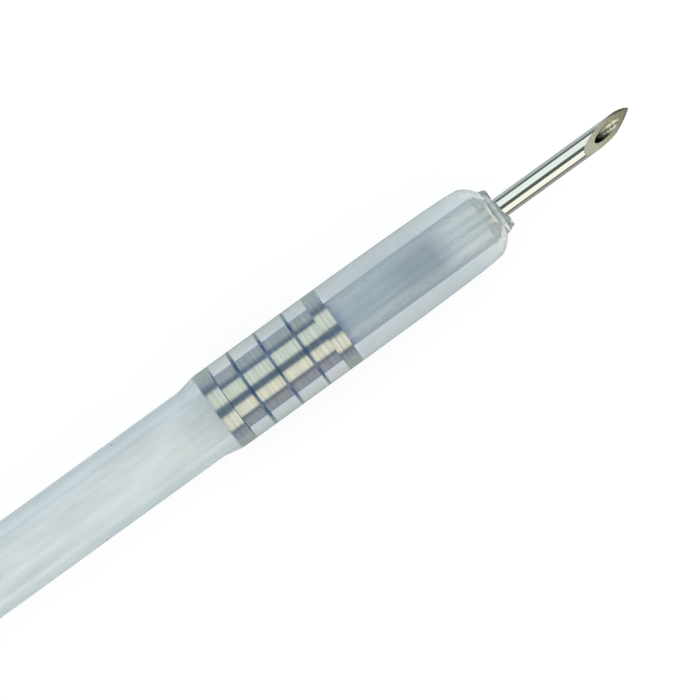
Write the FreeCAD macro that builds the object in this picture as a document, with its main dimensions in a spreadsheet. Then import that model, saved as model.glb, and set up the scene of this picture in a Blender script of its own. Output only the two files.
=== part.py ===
import FreeCAD, Part
import math
import os
import re
import Sketcher
from FreeCAD import Placement, Rotation, Vector

# An injection needle for a flexible endoscope, lying flat with its needle out. The handle lies along X with
# its syringe inlet at -X. The sheath leaves its nose at +X, is wound in a tied coil, and ends in the formed
# tip with the stop bush and the needle, which points along +X. Sizes are millimetres.

# Driving dimensions. Each name is a cell of the sheet, and every sketch and feature is tied to these cells.
SIZES = {
    # Sheath and inner tube
    "sheath_outer": 2.27,
    "sheath_bore": 1.11,
    "inner_outer": 0.95,
    # Formed tip of the sheath, set back from the end of its lip
    "tip_reach": 36.0,
    "swell_outer": 2.51,
    "swell_ramp": 0.55,
    "nose_taper": 2.4,
    "nose_outer": 2.28,
    "nose_back": 0.78,
    "nose_turn": 0.52,
    "nose_turn_outer": 2.0,
    "lip_outer": 1.44,
    "lip_length": 0.28,
    "lip_edge": 0.04,
    "bore_stop": 0.56,
    "bore_cone": 0.22,
    # Stop bush held in the sheath
    "bush_setback": 5.78,
    "bush_length": 4.3,
    "flange_outer": 1.85,
    "flange_width": 0.485,
    "land_outer": 1.33,
    "ridge_width": 0.08,
    "ridge_pitch": 0.957,
    # Needle, its bevel and its two side facets
    "needle_outer": 0.642,
    "needle_bore": 0.337,
    "needle_reach": 4.68,
    "needle_tail": 6.0,
    "bevel_angle": 19.0,
    "bevel_roll": 31.5,
    "facet_angle": 27.0,
    "facet_turn": 30.0,
    # Crimped ferrule that joins the needle to the inner tube and stops against the bush
    "collar_width": 0.5,
    "crimp_length": 0.6,
    "crimp_outer": 1.06,
    "collar_edge": 0.06,
    "inner_reach": 17.0,
    "inner_setback": 0.5,
    # Travel and running clearances, on the radius
    "needle_travel": 7.0,
    "guide_gap": 0.03,
    "slide_gap": 0.05,
    "stop_gap": 0.02,
    # Barrel of the handle with its finger wings
    "barrel_outer": 16.0,
    "barrel_bore": 12.0,
    "barrel_length": 52.0,
    "wing_span": 40.0,
    "wing_thick": 4.5,
    "wing_end": 5.0,
    "wing_side": 1.0,
    "wing_waist": 1.2,
    "waist_round": 6.0,
    "wing_round": 2.0,
    "grip_pitch": 4.6,
    "grip_depth": 0.5,
    "grip_width": 2.2,
    "grip_back": 8.5,
    # Rear cap and the click ring behind the barrel's step
    "cap_thick": 1.6,
    "cap_edge": 0.6,
    "cap_spigot": 5.0,
    "cap_seat": 13.2,
    "click_width": 2.0,
    "click_gap": 1.2,
    # Plunger rod, head, ring and stop pin
    "rod_outer": 8.0,
    "rod_bore": 5.2,
    "rod_reach": 14.0,
    "head_length": 9.0,
    "head_edge": 0.5,
    "head_floor": 2.0,
    "head_gap": 1.0,
    "ring_depth": 0.9,
    "ring_width": 1.8,
    "ring_back": 6.3,
    "pin_outer": 2.4,
    "pin_back": 2.6,
    "pin_foot": 2.4,
    "pin_proud": 0.6,
    "click_depth": 0.4,
    "click_groove": 1.2,
    # Thumb grip
    "thumb_span": 28.0,
    "thumb_thick": 4.0,
    "thumb_end": 5.0,
    # Syringe inlet with its tapered bore
    "inlet_reach": 12.0,
    "inlet_outer": 6.7,
    "inlet_mouth": 4.28,
    "inlet_taper": 0.06,
    "inlet_depth": 8.0,
    "inlet_step": 1.0,
    "lug_span": 7.8,
    "lug_width": 2.6,
    "lug_thick": 1.1,
    "hub_collar": 10.0,
    "hub_width": 1.8,
    "hub_slope": 1.2,
    "hub_spigot": 7.0,
    # Guide tube that pushes the inner tube
    "guide_outer": 1.6,
    "guide_bore": 1.0,
    "guide_setback": 0.2,
    "guide_end": 0.5,
    # Nose cap, sheath ferrule and strain relief
    "nose_spigot": 6.0,
    "nose_length": 14.0,
    "nose_front": 8.4,
    "nose_band": 5.0,
    "nose_lead": 2.5,
    "nose_wall": 2.0,
    "seat_outer": 5.2,
    "seat_width": 1.2,
    "sleeve_outer": 3.2,
    "sleeve_length": 5.0,
    "root_outer": 6.4,
    "relief_back": 7.0,
    "relief_front": 3.5,
    "relief_reach": 20.0,
    "relief_foot": 2.0,
    "relief_pitch": 3.4,
    "relief_groove": 1.3,
    "relief_step": 0.35,
    # Wound sheath and its tie
    "coil_radius": 14.7,
    "coil_pitch": 2.3,
    "coil_place": 28.0,
    "tie_thick": 0.25,
    "tie_angle": 26.0,
    # Distance from the strain relief's mouth to the back of the formed tip
    "tip_place": 46.0,
}
RIDGES = 3
GRIP_RINGS = 4
RELIEF_GROOVES = 5
COIL_ROWS = 4
# How far a cut runs past the solid, and how much of a slot's half width its round ends take
PAST = 1
SLOT_ROUND = 0.98
WAIST_SHARE = 0.45
ARC_SHARE = 0.45

doc = FreeCAD.newDocument("injection_needle")
sheet = doc.addObject("Spreadsheet::Sheet", "Sizes")
for row, (name, number) in enumerate(SIZES.items(), start=1):
    sheet.set(f"A{row}", name)
    sheet.set(f"B{row}", str(number))
    sheet.setAlias(f"B{row}", name)
doc.recompute()


def bound(words):
    """An expression with the name of each size tied to its cell in the sheet."""
    return re.sub(r"[a-z]+_[a-z_]+", lambda found: "Sizes." + found.group(0), words)


def size(words):
    """The value of an expression in the sheet's sizes."""
    return float(sheet.evalExpression(bound(words)))


# Places worked out from the sizes: along X on the handle, then on the tip, then heights
HANDLE_SPAN = "(inlet_reach + thumb_thick + rod_reach + barrel_length + nose_length + relief_reach)"
THUMB_BACK = f"(inlet_reach - {HANDLE_SPAN} / 2)"
BARREL_BACK = f"({THUMB_BACK} + thumb_thick + rod_reach)"
BARREL_FRONT = f"({BARREL_BACK} + barrel_length)"
RELIEF_MOUTH = f"({HANDLE_SPAN} / 2)"
TIP_BACK = f"({RELIEF_MOUTH} + tip_place)"
HANDLE_HEIGHT = "(barrel_outer / 2)"
TIP_HEIGHT = "(swell_outer / 2)"
BUSH_FRONT = "(tip_reach - bush_setback)"
BUSH_BACK = f"({BUSH_FRONT} - bush_length)"
NEEDLE_HOLE = "(needle_outer / 2 + guide_gap)"


def outline(body, name, role, corners):
    """A closed sketch on one of the body's own planes through corners (across, up, rounding), each tied
    to the sheet. A corner with a rounding becomes a tangent arc, and its sharp point stays as a guide."""
    sketch = body.newObject("Sketcher::SketchObject", name)
    plane = [item for item in body.Origin.OriginFeatures if item.Role == role][0]
    sketch.AttachmentSupport = (plane, [""])
    sketch.MapMode = "FlatFace"
    count = len(corners)
    spots = [Vector(size(corner[0]), size(corner[1]), 0) for corner in corners]
    radii = [size(corner[2]) if len(corner) > 2 else 0.0 for corner in corners]
    before, after = [], []
    for here in range(count):
        back = (spots[here - 1] - spots[here]).normalize()
        ahead = (spots[(here + 1) % count] - spots[here]).normalize()
        trim = radii[here] / math.tan(back.getAngle(ahead) / 2) if radii[here] else 0.0
        before.append(spots[here] + back * trim)
        after.append(spots[here] + ahead * trim)
    lines = []
    for here in range(count):
        side = Part.LineSegment(after[here], before[(here + 1) % count])
        lines.append(sketch.addGeometry(side, False))

    def tie(kind, spot, words):
        rule = sketch.addConstraint(Sketcher.Constraint(kind, *spot, size(words)))
        sketch.setExpression(f"Constraints[{rule}]", bound(words))

    for here in range(count):
        if not radii[here]:
            sketch.addConstraint(Sketcher.Constraint("Coincident", lines[here - 1], 2, lines[here], 1))
            tie("DistanceX", (lines[here], 1), corners[here][0])
            tie("DistanceY", (lines[here], 1), corners[here][1])
            continue
        back = (spots[here - 1] - spots[here]).normalize()
        ahead = (spots[(here + 1) % count] - spots[here]).normalize()
        reach = radii[here] / math.sin(back.getAngle(ahead) / 2)
        centre = spots[here] + (back + ahead).normalize() * reach
        start, end = before[here] - centre, after[here] - centre
        left = (-back).cross(ahead).z > 0
        first, last = (start, end) if left else (end, start)
        turn = math.atan2(first.y, first.x)
        sweep = (math.atan2(last.y, last.x) - turn) % (2 * math.pi)
        round_circle = Part.Circle(centre, Vector(0, 0, 1), radii[here])
        arc = sketch.addGeometry(Part.ArcOfCircle(round_circle, turn, turn + sweep), False)
        guide = sketch.addGeometry(Part.Point(spots[here]), True)
        arc_in, arc_out = (1, 2) if left else (2, 1)
        sketch.addConstraint(Sketcher.Constraint("Tangent", lines[here - 1], 2, arc, arc_in))
        sketch.addConstraint(Sketcher.Constraint("Tangent", arc, arc_out, lines[here], 1))
        sketch.addConstraint(Sketcher.Constraint("PointOnObject", guide, 1, lines[here - 1]))
        sketch.addConstraint(Sketcher.Constraint("PointOnObject", guide, 1, lines[here]))
        tie("DistanceX", (guide, 1), corners[here][0])
        tie("DistanceY", (guide, 1), corners[here][1])
        tie("Radius", (arc,), corners[here][2])
    return sketch


def new_body(label, along, height, across="0"):
    """An empty body placed by expressions."""
    body = doc.addObject("PartDesign::Body", label)
    body.Label = label
    for axis, words in (("x", along), ("y", across), ("z", height)):
        body.setExpression(f"Placement.Base.{axis}", bound(words))
    return body


def turn(body, name, corners, cut=False):
    """A profile (along, radius) turned about the body's own X axis, added or cut away."""
    sketch = outline(body, name + "_profile", "XZ_Plane", corners)
    doc.recompute()
    kind = "PartDesign::Groove" if cut else "PartDesign::Revolution"
    feature = body.newObject(kind, name)
    feature.Profile = sketch
    feature.ReferenceAxis = (sketch, ["H_Axis"])
    feature.Angle = 360
    doc.recompute()
    return feature


def turned(label, along, height, corners):
    """A body that is one turned profile."""
    body = new_body(label, along, height)
    turn(body, label + "_turn", corners)
    return body


def tube(label, along, height, length, outer, bore):
    """A plain tube."""
    return turned(label, along, height, [
        ("0", f"{bore} / 2"),
        ("0", f"{outer} / 2"),
        (length, f"{outer} / 2"),
        (length, f"{bore} / 2"),
    ])


def plate(body, name, corners, thick, place="0"):
    """A flat outline (across, up) on the body's YZ plane, made thick along X."""
    sketch = outline(body, name + "_outline", "YZ_Plane", corners)
    sketch.setExpression("AttachmentOffset.Base.z", bound(place))
    doc.recompute()
    feature = body.newObject("PartDesign::Pad", name)
    feature.Profile = sketch
    feature.setExpression("Length", bound(thick))
    doc.recompute()
    return feature


def wing_outline(span, end, height):
    """Two rounded wings joined by a full middle, flat below so that the piece lies still. The
    outline is wide at its ends and a little waisted beside the middle."""
    half, tall, low = f"{span} / 2", f"{height} / 2", f"{height} / 2 - wing_waist"
    right = [
        (f"{half} * {WAIST_SHARE}", f"-({low})", "waist_round"),
        (f"{half} - {end}", f"-({tall})", "wing_round"),
        (half, f"-({tall}) + wing_side", f"{end} / 2"),
        (half, f"{tall} - wing_side", f"{end} / 2"),
        (f"{half} - {end}", tall, "wing_round"),
        (f"{half} * {WAIST_SHARE}", low, "waist_round"),
    ]
    left = [(f"-({across})", up, rounding) for across, up, rounding in reversed(right)]
    return right + left


def bush_profile(start):
    """Corners (along, radius) of the bush's outside from back to front: a flange, lands parted by thin
    ridges, and a flange. The sheath is formed down onto this same line."""
    flange, land = "flange_outer / 2", "land_outer / 2"
    end = f"({start} + bush_length)"
    corners = [(start, flange), (f"{start} + flange_width", flange), (f"{start} + flange_width", land)]
    for ridge in range(RIDGES):
        middle = f"({start} + bush_length / 2 + {ridge - (RIDGES - 1) / 2} * ridge_pitch)"
        corners += [(f"{middle} - ridge_width / 2", land), (f"{middle} - ridge_width / 2", flange)]
        corners += [(f"{middle} + ridge_width / 2", flange), (f"{middle} + ridge_width / 2", land)]
    corners += [(f"{end} - flange_width", land), (f"{end} - flange_width", flange), (end, flange)]
    return corners


# The sheath's front end: one clear extruded tube, swollen and pressed down into the bush's grooves, and
# drawn in at its nose to a short lip that guides the needle.
def make_sheath_tip():
    corners = [
        ("0", "sheath_outer / 2"),
        (f"{BUSH_BACK} - swell_ramp", "sheath_outer / 2"),
        (BUSH_BACK, "swell_outer / 2"),
        ("tip_reach - nose_taper", "swell_outer / 2"),
        ("tip_reach - nose_back", "nose_outer / 2"),
        ("tip_reach - nose_turn", "nose_turn_outer / 2"),
        ("tip_reach - lip_length", "lip_outer / 2"),
        ("tip_reach - lip_edge", "lip_outer / 2"),
        ("tip_reach", "lip_outer / 2 - 2 * lip_edge"),
        ("tip_reach", NEEDLE_HOLE),
        ("tip_reach - bore_stop", NEEDLE_HOLE),
        ("tip_reach - bore_stop - bore_cone", "sheath_bore / 2"),
        (BUSH_FRONT, "sheath_bore / 2"),
    ]
    corners += reversed(bush_profile(BUSH_BACK))
    corners += [(BUSH_BACK, "sheath_bore / 2"), ("0", "sheath_bore / 2")]
    return turned("sheath_tip", TIP_BACK, TIP_HEIGHT, corners)


# The stop bush: a small turned steel spool, fixed by the sheath in its grooves. Its hole guides the needle
# and its back face stops the ferrule.
def make_stop_bush():
    corners = [("0", NEEDLE_HOLE)] + bush_profile("0") + [("bush_length", NEEDLE_HOLE)]
    return turned("stop_bush", f"({TIP_BACK} + {BUSH_BACK})", TIP_HEIGHT, corners)


# The needle: a drawn steel cannula ground with one long bevel and two side facets that leave a sharp point.
def make_needle():
    half = "needle_outer / 2"
    length = f"(needle_tail + collar_width + stop_gap + tip_reach - {BUSH_BACK} + needle_reach)"
    start = f"({TIP_BACK} + {BUSH_BACK} - stop_gap - collar_width - needle_tail)"
    body = new_body("needle_cannula", start, TIP_HEIGHT)
    turn(body, "cannula", [
        ("0", "needle_bore / 2"),
        ("0", half),
        (length, half),
        (length, "needle_bore / 2"),
    ])
    grinds = (
        ("bevel", "bevel_angle", "bevel_roll", half),
        ("left_facet", "facet_angle", "(bevel_roll + facet_turn)", f"{half} * cos(facet_turn * 1 deg)"),
        ("right_facet", "facet_angle", "(bevel_roll - facet_turn)", f"{half} * cos(facet_turn * 1 deg)"),
    )
    for name, angle, roll, low in grinds:
        # The ground plane rises backwards from the point, which lies this low in the plane's own section
        slope = f"tan({angle} * 1 deg)"
        corners = [
            (f"{length} - (needle_outer + {low}) / {slope}", "needle_outer"),
            (f"{length} + ({half} - {low} + {PAST}) / {slope}", f"-({half}) - {PAST}"),
            (f"{length} + ({half} - {low} + {PAST}) / {slope}", "needle_outer"),
        ]
        sketch = outline(body, name + "_section", "XZ_Plane", corners)
        sketch.AttachmentOffset = Placement(Vector(), Rotation(Vector(1, 0, 0), size(roll)))
        sketch.setExpression("AttachmentOffset.Rotation.Angle", bound(roll))
        doc.recompute()
        cut = body.newObject("PartDesign::Pocket", name)
        cut.Profile = sketch
        cut.Midplane = True
        cut.setExpression("Length", bound("needle_outer * 3"))
        doc.recompute()
    return body


# The ferrule: a drawn cup crimped over the inner tube's end. Its collar bears on the needle and meets the
# bush when the needle is out.
def make_ferrule():
    length = "(collar_width + crimp_length)"
    corners = [
        ("0", "inner_outer / 2"),
        ("0", "crimp_outer / 2"),
        (f"{length} - collar_edge", "crimp_outer / 2"),
        (length, "crimp_outer / 2 - collar_edge"),
        (length, "needle_outer / 2"),
        ("crimp_length", "needle_outer / 2"),
        ("crimp_length", "inner_outer / 2"),
    ]
    start = f"({TIP_BACK} + {BUSH_BACK} - stop_gap - {length})"
    return turned("needle_ferrule", start, TIP_HEIGHT, corners)


# The front of the inner tube, drawn over the needle's tail and held by the crimp.
def make_inner_front():
    start = f"({TIP_BACK} + {BUSH_BACK} - stop_gap - collar_width - inner_reach)"
    return tube("inner_tube_front", start, TIP_HEIGHT, "inner_reach", "inner_outer", "needle_outer")


# The barrel: a moulded tube with finger wings at its back, grip rings behind its middle, a counterbore that
# takes the rear cap, and a slot on top in which the stop pin runs.
HEAD_FRONT = "(barrel_length - nose_spigot - head_gap)"
HEAD_BACK = f"({HEAD_FRONT} - head_length)"
PIN_PLACE = f"({HEAD_BACK} + pin_back)"


def make_barrel():
    body = new_body("barrel", BARREL_BACK, HANDLE_HEIGHT)
    outer = "barrel_outer / 2"
    corners = [("0", "0"), ("0", outer)]
    for ring in range(GRIP_RINGS):
        back = f"(grip_back + {ring} * grip_pitch)"
        corners += [(back, outer), (back, f"{outer} - grip_depth")]
        corners += [(f"{back} + grip_width", f"{outer} - grip_depth"), (f"{back} + grip_width", outer)]
    corners += [("barrel_length", outer), ("barrel_length", "0")]
    turn(body, "barrel_wall", corners)
    plate(body, "wings", wing_outline("wing_span", "wing_end", "barrel_outer"), "wing_thick")
    turn(body, "barrel_hole", [
        (f"-{PAST}", "0"),
        (f"-{PAST}", "cap_seat / 2"),
        ("cap_spigot + click_width", "cap_seat / 2"),
        ("cap_spigot + click_width", "barrel_bore / 2"),
        (f"barrel_length + {PAST}", "barrel_bore / 2"),
        (f"barrel_length + {PAST}", "0"),
    ], cut=True)
    half = "(pin_outer / 2 + slide_gap)"
    back = f"({PIN_PLACE} - needle_travel - pin_outer / 2 - stop_gap)"
    front = f"({PIN_PLACE} + pin_outer / 2 + stop_gap)"
    slot = outline(body, "slot_outline", "XY_Plane", [
        (back, f"-{half}", f"{half} * {SLOT_ROUND}"),
        (front, f"-{half}", f"{half} * {SLOT_ROUND}"),
        (front, half, f"{half} * {SLOT_ROUND}"),
        (back, half, f"{half} * {SLOT_ROUND}"),
    ])
    doc.recompute()
    cut = body.newObject("PartDesign::Pocket", "slot")
    cut.Profile = slot
    cut.Reversed = True
    cut.setExpression("Length", bound("barrel_outer"))
    doc.recompute()
    return body


# The rear cap: a moulded ring pressed into the barrel's counterbore, which guides the plunger rod.
def make_rear_cap():
    hole = "rod_outer / 2 + slide_gap"
    return turned("rear_cap", f"({BARREL_BACK} - cap_thick)", HANDLE_HEIGHT, [
        ("0", hole),
        ("0", "barrel_outer / 2 - 2 * cap_edge"),
        ("cap_edge", "barrel_outer / 2 - cap_edge"),
        ("cap_thick", "barrel_outer / 2 - cap_edge"),
        ("cap_thick", "cap_seat / 2"),
        ("cap_thick + cap_spigot", "cap_seat / 2"),
        ("cap_thick + cap_spigot", hole),
    ])


# The click ring: an elastic split ring held between the cap and the barrel's step. It rests in one of the
# two shallow grooves of the rod.
def make_click_ring():
    body = new_body("click_ring", f"({BARREL_BACK} + cap_spigot)", HANDLE_HEIGHT)
    inner = "rod_outer / 2 + slide_gap"
    turn(body, "ring_turn", [
        ("0", inner),
        ("0", "cap_seat / 2"),
        ("click_width", "cap_seat / 2"),
        ("click_width", inner),
    ])
    gap = outline(body, "ring_gap_outline", "YZ_Plane", [
        ("-(click_gap / 2)", "rod_outer / 4"),
        ("click_gap / 2", "rod_outer / 4"),
        ("click_gap / 2", "cap_seat"),
        ("-(click_gap / 2)", "cap_seat"),
    ])
    doc.recompute()
    cut = body.newObject("PartDesign::Pocket", "ring_gap")
    cut.Profile = gap
    cut.Reversed = True
    cut.setExpression("Length", bound("click_width * 2"))
    doc.recompute()
    return body


# The plunger: a moulded hollow rod with a solid head. The head has a groove for its ring and a hole for the
# stop pin, and the rod has a click groove for each end of its travel.
ROD_BACK = THUMB_BACK
ROD_LENGTH = f"(thumb_thick + rod_reach + {HEAD_FRONT})"
CLICK_PLACE = "(thumb_thick + rod_reach + cap_spigot + click_width / 2)"


def make_plunger():
    body = new_body("plunger_rod", ROD_BACK, HANDLE_HEIGHT)
    rod, head = "rod_outer / 2", "barrel_bore / 2 - slide_gap"
    head_back = f"({ROD_LENGTH} - head_length)"
    ring_middle = f"({head_back} + ring_back)"
    corners = [("0", "rod_bore / 2"), ("0", rod)]
    for place in (CLICK_PLACE, f"({CLICK_PLACE} + needle_travel)"):
        corners.append((f"{place} - click_groove / 2", rod))
        corners.append((place, f"{rod} - click_depth"))
        corners.append((f"{place} + click_groove / 2", rod))
    corners += [
        (head_back, rod),
        (head_back, head),
        (f"{ring_middle} - ring_width / 2", head),
        (f"{ring_middle} - ring_width / 2", f"{head} - ring_depth"),
        (f"{ring_middle} + ring_width / 2", f"{head} - ring_depth"),
        (f"{ring_middle} + ring_width / 2", head),
        (f"{ROD_LENGTH} - head_edge", head),
        (ROD_LENGTH, f"{head} - head_edge"),
        (ROD_LENGTH, "guide_outer / 2"),
        (f"{head_back} - head_floor", "guide_outer / 2"),
        (f"{head_back} - head_floor", "rod_bore / 2"),
    ]
    turn(body, "rod_turn", corners)
    hole = body.newObject("Sketcher::SketchObject", "pin_hole_outline")
    plane = [item for item in body.Origin.OriginFeatures if item.Role == "XY_Plane"][0]
    hole.AttachmentSupport = (plane, [""])
    hole.MapMode = "FlatFace"
    hole.setExpression("AttachmentOffset.Base.z", bound("pin_foot"))
    place = f"({head_back} + pin_back)"
    start = Part.Circle(Vector(size(place), 0, 0), Vector(0, 0, 1), size("pin_outer / 2"))
    circle = hole.addGeometry(start)
    hole.addConstraint(Sketcher.Constraint("PointOnObject", circle, 3, -1))
    for kind, spot, words in (("DistanceX", (circle, 3), place), ("Radius", (circle,), "pin_outer / 2")):
        rule = hole.addConstraint(Sketcher.Constraint(kind, *spot, size(words)))
        hole.setExpression(f"Constraints[{rule}]", bound(words))
    doc.recompute()
    cut = body.newObject("PartDesign::Pocket", "pin_hole")
    cut.Profile = hole
    cut.Reversed = True
    cut.setExpression("Length", bound("barrel_bore"))
    doc.recompute()
    return body


# The plunger's ring: an elastomer ring in the head's groove, which holds the plunger where it is put.
def make_plunger_ring():
    head = "barrel_bore / 2 - slide_gap"
    start = f"({BARREL_BACK} + {HEAD_BACK} + ring_back - ring_width / 2)"
    return turned("plunger_ring", start, HANDLE_HEIGHT, [
        ("0", f"{head} - ring_depth"),
        ("0", f"{head} - ring_depth / 2"),
        ("ring_width / 4", head),
        ("ring_width * 3 / 4", head),
        ("ring_width", f"{head} - ring_depth / 2"),
        ("ring_width", f"{head} - ring_depth"),
    ])


# The stop pin: pressed into the head, it runs in the barrel's slot, ends the travel both ways and shows
# where the needle is.
def make_stop_pin():
    pin = doc.addObject("Part::Cylinder", "stop_pin")
    pin.Label = "stop_pin"
    pin.setExpression("Radius", bound("pin_outer / 2"))
    pin.setExpression("Height", bound("barrel_outer / 2 + pin_proud - pin_foot"))
    pin.setExpression("Placement.Base.x", bound(f"{BARREL_BACK} + {PIN_PLACE}"))
    pin.setExpression("Placement.Base.z", bound(f"{HANDLE_HEIGHT} + pin_foot"))
    return pin


# The thumb grip: a moulded plate bonded on the rod's back end, as flat below as the barrel's wings.
def make_thumb_grip():
    body = new_body("thumb_grip", THUMB_BACK, HANDLE_HEIGHT)
    plate(body, "thumb_plate", wing_outline("thumb_span", "thumb_end", "barrel_outer"), "thumb_thick")
    turn(body, "thumb_hole", [
        (f"-{PAST}", "0"),
        (f"-{PAST}", "rod_outer / 2"),
        (f"thumb_thick + {PAST}", "rod_outer / 2"),
        (f"thumb_thick + {PAST}", "0"),
    ], cut=True)
    return body


# The syringe inlet: a moulded hub with a tapered socket and two lugs for a locking syringe. A collar seats
# on the thumb grip and a spigot is bonded in the rod.
def make_inlet():
    body = new_body("syringe_inlet", f"(0 - {HANDLE_SPAN} / 2)", HANDLE_HEIGHT)
    wall = "inlet_outer / 2"
    turn(body, "inlet_wall", [
        ("0", "0"),
        ("0", wall),
        ("inlet_reach - hub_width - hub_slope", wall),
        ("inlet_reach - hub_width", "hub_collar / 2"),
        ("inlet_reach", "hub_collar / 2"),
        ("inlet_reach", "rod_bore / 2"),
        ("inlet_reach + hub_spigot", "rod_bore / 2"),
        ("inlet_reach + hub_spigot", "0"),
    ])
    half, tall = "lug_span / 2", "lug_width / 2"
    plate(body, "lugs", [
        (half, f"-({tall})"),
        (half, tall),
        (f"-({half})", tall),
        (f"-({half})", f"-({tall})"),
    ], "lug_thick")
    turn(body, "inlet_socket", [
        ("0", "0"),
        ("0", "inlet_mouth / 2"),
        ("inlet_depth", "inlet_mouth / 2 - inlet_depth * inlet_taper / 2"),
        ("inlet_depth + inlet_step", "guide_outer / 2"),
        (f"inlet_reach + hub_spigot + {PAST}", "guide_outer / 2"),
        (f"inlet_reach + hub_spigot + {PAST}", "0"),
    ], cut=True)
    return body


# The guide tube: a steel tube bonded in the inlet and the plunger, which keeps the inner tube from
# buckling. Its front end stays in the nose cap's hole over the whole travel.
GUIDE_BACK = f"(0 - {HANDLE_SPAN} / 2 + inlet_depth + inlet_step + guide_setback)"


def make_guide_tube():
    length = f"({BARREL_FRONT} + nose_wall - guide_end - {GUIDE_BACK})"
    return tube("guide_tube", GUIDE_BACK, HANDLE_HEIGHT, length, "guide_outer", "guide_bore")


# The back of the inner tube, from the inlet through the guide tube and into the sheath.
def make_inner_rear():
    length = f"({RELIEF_MOUTH} - inner_setback - {GUIDE_BACK})"
    return tube("inner_tube_rear", GUIDE_BACK, HANDLE_HEIGHT, length, "inner_outer", "needle_outer")


# The nose cap: a moulded cone pressed in the barrel's front. It guides the tube behind and holds the
# sheath's ferrule and the root of the strain relief in front.
FERRULE_FRONT = "(nose_wall + seat_width + sleeve_length)"


def make_nose_cap():
    return turned("nose_cap", BARREL_FRONT, HANDLE_HEIGHT, [
        ("0 - nose_spigot", "guide_outer / 2 + slide_gap"),
        ("0 - nose_spigot", "barrel_bore / 2"),
        ("0", "barrel_bore / 2"),
        ("0", "barrel_outer / 2"),
        ("nose_band", "barrel_outer / 2"),
        ("nose_length - nose_lead", "nose_front / 2"),
        ("nose_length", "nose_front / 2"),
        ("nose_length", "root_outer / 2"),
        ("nose_wall + seat_width", "root_outer / 2"),
        ("nose_wall + seat_width", "seat_outer / 2"),
        ("nose_wall", "seat_outer / 2"),
        ("nose_wall", "guide_outer / 2 + slide_gap"),
    ])


# The sheath ferrule: a flanged steel sleeve crimped on the sheath's end and trapped by the strain relief.
def make_sheath_ferrule():
    return turned("sheath_ferrule", f"({BARREL_FRONT} + nose_wall)", HANDLE_HEIGHT, [
        ("0", "sheath_outer / 2"),
        ("0", "seat_outer / 2"),
        ("seat_width", "seat_outer / 2"),
        ("seat_width", "sleeve_outer / 2"),
        ("seat_width + sleeve_length", "sleeve_outer / 2"),
        ("seat_width + sleeve_length", "sheath_outer / 2"),
    ])


# The strain relief: a soft moulded sleeve, its root bonded in the nose cap. Its front steps down in rings
# with a groove behind each, so that it bends evenly.
def make_strain_relief():
    start = "(nose_wall + seat_width)"
    length = f"(nose_length + relief_reach - {start})"
    nose = f"(nose_length - {start})"
    fall = f"((relief_back - relief_front) / 2 / {RELIEF_GROOVES})"
    corners = [
        ("0", "sleeve_outer / 2"),
        ("0", "root_outer / 2"),
        (nose, "root_outer / 2"),
        (nose, "relief_back / 2"),
    ]
    for groove in range(RELIEF_GROOVES):
        back = f"({nose} + relief_foot + {groove} * relief_pitch)"
        front = f"({back} + relief_groove)"
        behind, ahead = f"relief_back / 2 - {groove} * {fall}", f"relief_back / 2 - {groove + 1} * {fall}"
        corners += [(back, behind), (back, f"{ahead} - relief_step")]
        corners += [(front, f"{ahead} - relief_step"), (front, ahead)]
    corners += [
        (length, "relief_front / 2"),
        (length, "sheath_outer / 2"),
        (f"{FERRULE_FRONT} - {start}", "sheath_outer / 2"),
        (f"{FERRULE_FRONT} - {start}", "sleeve_outer / 2"),
    ]
    return turned("strain_relief", f"({BARREL_FRONT} + {start})", HANDLE_HEIGHT, corners)


# The back of the sheath, inside its ferrule and the strain relief.
def make_sheath_root():
    length = "(nose_length - nose_wall + relief_reach)"
    start = f"({BARREL_FRONT} + nose_wall)"
    return tube("sheath_root", start, HANDLE_HEIGHT, length, "sheath_outer", "sheath_bore")


# The wound stretch of the sheath: the outer shape of its turns, which lie in rows and columns one pitch
# apart. It rests on the tie. One more place beside the outer column is where the sheath leaves.
HALF_STACK = f"({(COIL_ROWS - 1) / 2} * coil_pitch)"
COIL_INNER = f"(coil_radius - {HALF_STACK} - sheath_outer / 2)"
COIL_OUTER = f"(coil_radius + {HALF_STACK} + sheath_outer / 2)"
COIL_ALONG = f"({RELIEF_MOUTH} + coil_place)"
COIL_ACROSS = f"(coil_radius + {HALF_STACK} + coil_pitch)"
COIL_HEIGHT = f"(2 * {HALF_STACK} + sheath_outer)"


def coil_section(body, name, swell):
    """The square section of the turns beside the coil's axis, its corners cut off by a quarter of the
    sheath, made larger all round by swell."""
    cut = "sheath_outer / 4"
    inner, outer = f"({COIL_INNER} - {swell})", f"({COIL_OUTER} + {swell})"
    low, high = f"(0 - {swell})", f"({COIL_HEIGHT} + {swell})"
    return outline(body, name, "XZ_Plane", [
        (f"{inner} + {cut}", low),
        (f"{outer} - {cut}", low),
        (outer, f"{low} + {cut}"),
        (outer, f"{high} - {cut}"),
        (f"{outer} - {cut}", high),
        (f"{inner} + {cut}", high),
        (inner, f"{high} - {cut}"),
        (inner, f"{low} + {cut}"),
    ])


def make_sheath_coil():
    body = new_body("sheath_coil", COIL_ALONG, "tie_thick", COIL_ACROSS)
    sketch = coil_section(body, "coil_section", "0")
    doc.recompute()
    ring = body.newObject("PartDesign::Revolution", "coil_turn")
    ring.Profile = sketch
    ring.ReferenceAxis = (sketch, ["V_Axis"])
    ring.Angle = 360
    doc.recompute()
    return body


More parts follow.
